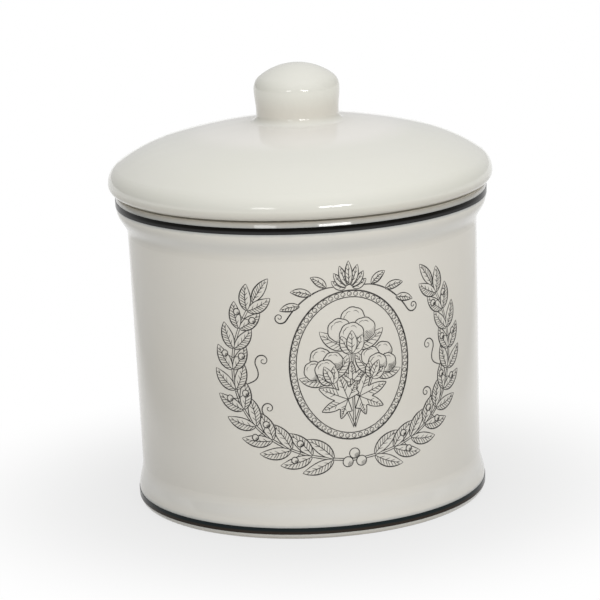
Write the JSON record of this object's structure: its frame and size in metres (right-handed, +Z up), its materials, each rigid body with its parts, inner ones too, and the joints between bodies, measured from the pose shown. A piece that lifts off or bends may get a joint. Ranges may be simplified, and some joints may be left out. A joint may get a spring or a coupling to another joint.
{
  "type": "cotton pad jar",
  "caption": "Round glazed ceramic jar with a rolled rim, a spread foot and a lift-off domed lid with a knob, for keeping cotton pads at a washstand.",
  "frame": {"origin": "centre of the foot, on the surface that the jar stands on", "axes": "+Z up along the axis of the jar and lid, -Y towards the viewer, +X to the viewer's right"},
  "size_m": [0.114, 0.114, 0.1303],
  "materials": {
    "jar_glaze": "gloss off-white glaze",
    "lid_glaze": "gloss warm white glaze",
    "line_enamel": "gloss black fired enamel"
  },
  "bodies": {
    "jar": {"jar": "jar_glaze", "rim_line": "line_enamel", "foot_line": "line_enamel"},
    "lid": {"lid": "lid_glaze", "lid_knob": "lid_glaze"}
  },
  "joints": [
    {"name": "lid_lift", "type": "slide", "parent": "jar", "child": "lid", "axis": [0, 0, 1], "range_m": [0, 0.12]}
  ]
}
